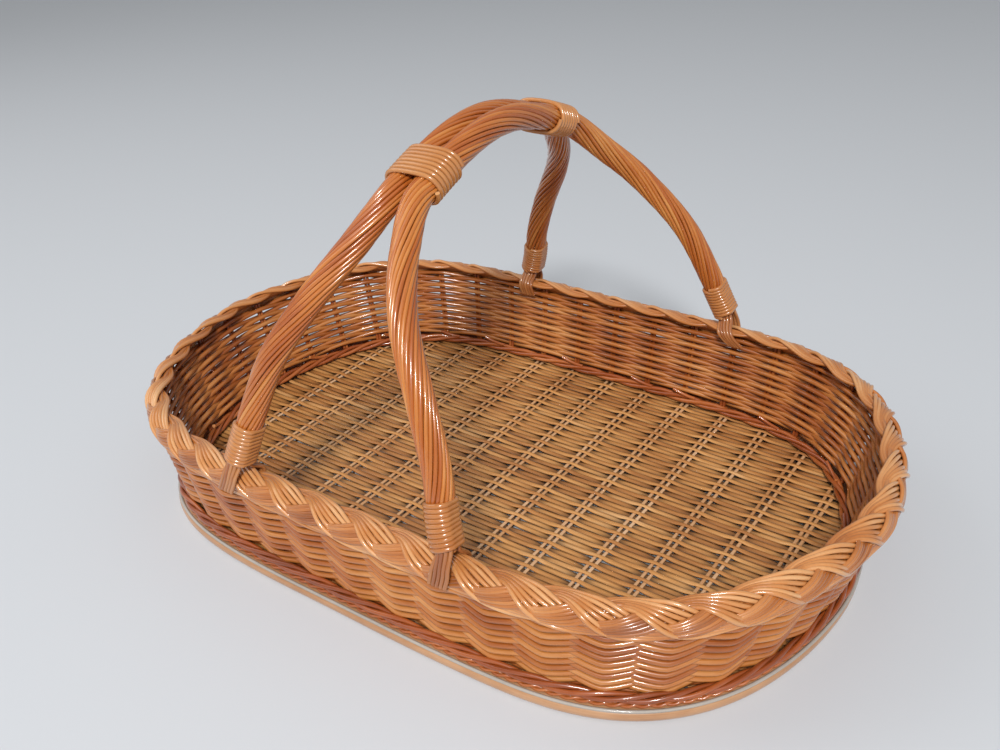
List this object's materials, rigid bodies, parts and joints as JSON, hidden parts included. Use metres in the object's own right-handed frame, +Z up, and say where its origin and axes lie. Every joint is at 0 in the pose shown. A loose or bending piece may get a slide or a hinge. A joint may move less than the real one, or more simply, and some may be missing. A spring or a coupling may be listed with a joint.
{
  "type": "wicker tray",
  "caption": "Oval wicker tray with a low flaring woven wall, a plaited border and a split roped handle arching over it.",
  "frame": {"origin": "on the ground under the middle of the tray", "axes": "+X along the tray's length, +Y across it from the near side to the far side, +Z up"},
  "size_m": [0.5542, 0.3694, 0.2807],
  "materials": {
    "hoop": "satin varnish",
    "mat": "satin varnish",
    "stick": "satin varnish",
    "band": "gloss varnish",
    "wall": "gloss varnish",
    "border": "gloss varnish",
    "bow": "gloss varnish",
    "binding": "gloss varnish",
    "tail": "gloss varnish"
  },
  "bodies": {
    "root": {"foot_hoop": "hoop", "base_weave": "mat", "base_stick_01": "stick", "base_stick_02": "stick", "base_stick_03": "stick", "base_stick_04": "stick", "base_stick_05": "stick", "base_stick_06": "stick", "base_stick_07": "stick", "base_stick_08": "stick", "base_stick_09": "stick", "base_stick_10": "stick", "base_stick_11": "stick", "base_stick_12": "stick", "base_stick_13": "stick", "base_stick_14": "stick", "base_stick_15": "stick", "base_stick_16": "stick", "base_stick_17": "stick", "base_stick_18": "stick", "base_stick_19": "stick", "base_stick_20": "stick", "base_stick_21": "stick", "base_stick_22": "stick", "base_stick_23": "stick", "base_stick_24": "stick", "base_stick_25": "stick", "base_stick_26": "stick", "upsett_band": "band", "side_weave": "wall", "border_strand_1": "border", "border_strand_2": "border", "border_strand_3": "border", "left_bow": "bow", "right_bow": "bow", "near_top_binding": "binding", "far_top_binding": "binding", "near_left_binding": "binding", "near_left_outer_tail": "tail", "near_left_inner_tail": "tail", "far_left_binding": "binding", "far_left_outer_tail": "tail", "far_left_inner_tail": "tail", "near_right_binding": "binding", "near_right_outer_tail": "tail", "near_right_inner_tail": "tail", "far_right_binding": "binding", "far_right_outer_tail": "tail", "far_right_inner_tail": "tail"}
  },
  "joints": []
}
